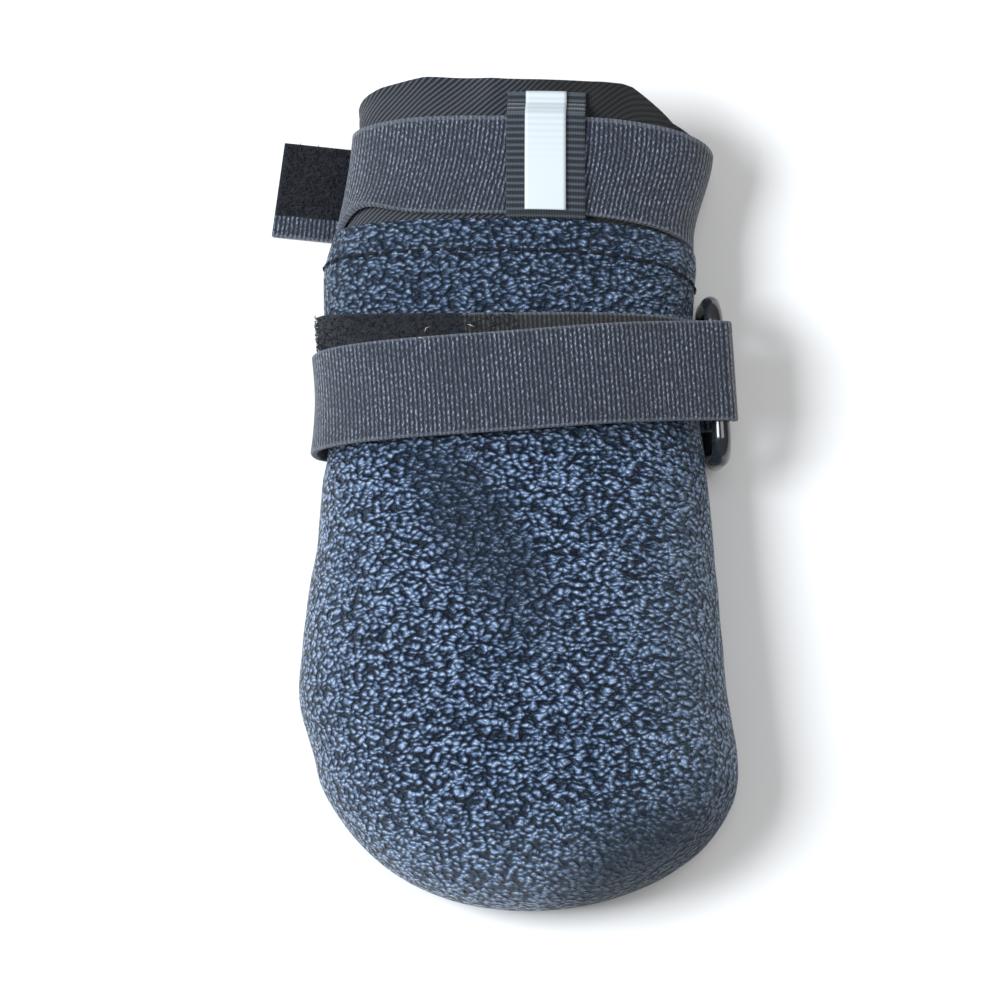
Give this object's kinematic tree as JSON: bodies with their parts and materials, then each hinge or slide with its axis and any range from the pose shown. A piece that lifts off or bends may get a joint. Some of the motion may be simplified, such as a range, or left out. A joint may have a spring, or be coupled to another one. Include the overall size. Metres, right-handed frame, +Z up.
{
  "type": "dog shoe",
  "caption": "Soft dog shoe in dull blue coated leather with a rubber sole, a cloth cuff laid forward on its shaft, webbing straps and a plastic ring.",
  "frame": {"origin": "on the floor under the sole's middle, midway between its heel end and its toe end", "axes": "+Z up from the floor through the shoe, +Y from the toe towards the cuff along the shaft, +X towards the strap ring's side"},
  "size_m": [0.0929, 0.1585, 0.034],
  "materials": {
    "sole_rubber": "matte",
    "foot_bed": "matte",
    "coated_leather": "satin",
    "cuff_twill": "matte",
    "strap_webbing": "matte",
    "keeper_ribbon": "matte",
    "reflective_tape": "satin",
    "ring_plastic": "glossy"
  },
  "bodies": {
    "root": {"sole": "sole_rubber", "insole": "foot_bed", "upper": "coated_leather", "cuff": "cuff_twill", "ankle_strap": "strap_webbing", "strap_keeper": "keeper_ribbon", "reflective_stripe": "reflective_tape", "instep_strap": "strap_webbing", "strap_ring": "ring_plastic", "ring_tab": "strap_webbing"}
  },
  "joints": []
}
